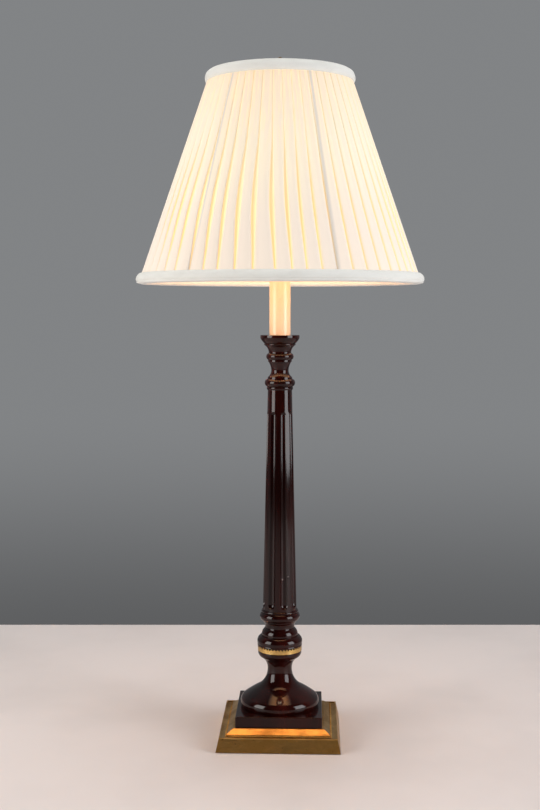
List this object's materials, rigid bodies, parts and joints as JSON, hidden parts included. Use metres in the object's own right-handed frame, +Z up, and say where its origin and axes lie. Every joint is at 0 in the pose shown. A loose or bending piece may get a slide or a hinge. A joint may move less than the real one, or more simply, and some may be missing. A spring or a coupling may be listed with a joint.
{
  "type": "candlestick table lamp",
  "caption": "Table lamp with a square brass base, turned and fluted wood column, ivory candle sleeve, harp and pleated empire shade.",
  "frame": {"origin": "on the table, under the middle of the base", "axes": "+Z up along the column, front towards -Y, +X to the right seen from the front"},
  "size_m": [0.321, 0.321, 0.7622],
  "materials": {
    "felt": "dense wool felt",
    "antique_brass": "aged cast brass, satin",
    "iron": "raw casting",
    "black_plastic": "moulded",
    "zinc_steel": "zinc plated",
    "mahogany": "turned wood, dark red-brown, high-gloss lacquer",
    "bright_brass": "polished brass",
    "ivory": "smooth ivory sleeve",
    "phenolic": "phenolic moulding",
    "aluminium": "pressed sheet",
    "fibre": "vulcanised fibre",
    "bulb_glass": "inside-frosted glass",
    "clear_glass": "clear glass",
    "filament_wire": "tungsten wire",
    "frame_wire": "white-coated steel wire",
    "pleated_silk": "pleated cream cloth",
    "lining_cloth": "smooth blush lining",
    "trim_cloth": "rolled off-white cloth"
  },
  "bodies": {
    "base": {"felt_pad": "felt", "brass_base": "antique_brass", "base_weight": "iron", "cord_bushing": "black_plastic", "threaded_pipe": "zinc_steel", "bottom_washer": "zinc_steel", "lock_washer": "zinc_steel", "bottom_nut": "zinc_steel", "wood_plinth": "mahogany", "bell_foot": "mahogany", "gallery_band": "bright_brass", "turned_collar": "mahogany", "fluted_shaft": "mahogany", "capital": "mahogany", "candle_sleeve": "ivory", "sleeve_cap": "bright_brass", "harp_saddle": "bright_brass", "socket_cap": "bright_brass", "set_screw": "zinc_steel", "socket_body": "phenolic", "terminal_screw_left": "bright_brass", "terminal_screw_right": "zinc_steel", "centre_contact": "bright_brass", "screw_shell": "aluminium", "insulating_sleeve": "fibre", "socket_shell": "bright_brass"},
    "switch": {"switch_shaft": "zinc_steel", "switch_knob": "black_plastic"},
    "bulb": {"bulb_tip": "zinc_steel", "bulb_insulator": "phenolic", "bulb_cap": "aluminium", "bulb_glass": "bulb_glass", "bulb_stem": "clear_glass", "filament": "filament_wire"},
    "harp": {"harp": "bright_brass", "harp_stud": "bright_brass"},
    "ferrule_left": {"ferrule_left": "bright_brass"},
    "ferrule_right": {"ferrule_right": "bright_brass"},
    "shade": {"shade_bottom_ring": "frame_wire", "shade_top_ring": "frame_wire", "shade_washer": "frame_wire", "spider_arm_1": "frame_wire", "spider_arm_2": "frame_wire", "spider_arm_3": "frame_wire", "shade_rib_1": "frame_wire", "shade_rib_2": "frame_wire", "shade_rib_3": "frame_wire", "shade_rib_4": "frame_wire", "shade_rib_5": "frame_wire", "shade_rib_6": "frame_wire", "shade_cover": "pleated_silk", "shade_lining": "lining_cloth", "bottom_trim": "trim_cloth", "top_trim": "trim_cloth"},
    "finial": {"finial": "bright_brass"}
  },
  "joints": [
    {"name": "switch_turn", "type": "hinge", "parent": "base", "child": "switch", "pos_m": [0, -0.01985, 0.553], "axis": [0, -1, 0], "continuous": true},
    {"name": "bulb_turn", "type": "hinge", "parent": "base", "child": "bulb", "pos_m": [0, 0, 0.5857], "axis": [0, 0, 1], "range_deg": [0, 1080]},
    {"name": "harp_lift", "type": "slide", "parent": "base", "child": "harp", "axis": [0, 0, 1], "range_m": [0, 0.025]},
    {"name": "ferrule_left_lift", "type": "slide", "parent": "harp", "child": "ferrule_left", "axis": [0, 0, 1], "range_m": [0, 0.011]},
    {"name": "ferrule_right_lift", "type": "slide", "parent": "harp", "child": "ferrule_right", "axis": [0, 0, 1], "range_m": [0, 0.011]},
    {"name": "shade_swivel", "type": "hinge", "parent": "harp", "child": "shade", "pos_m": [0, 0, 0.7305], "axis": [0, 0, 1], "continuous": true},
    {"name": "finial_turn", "type": "hinge", "parent": "harp", "child": "finial", "pos_m": [0, 0, 0.7324], "axis": [0, 0, 1], "range_deg": [0, 1440]}
  ]
}
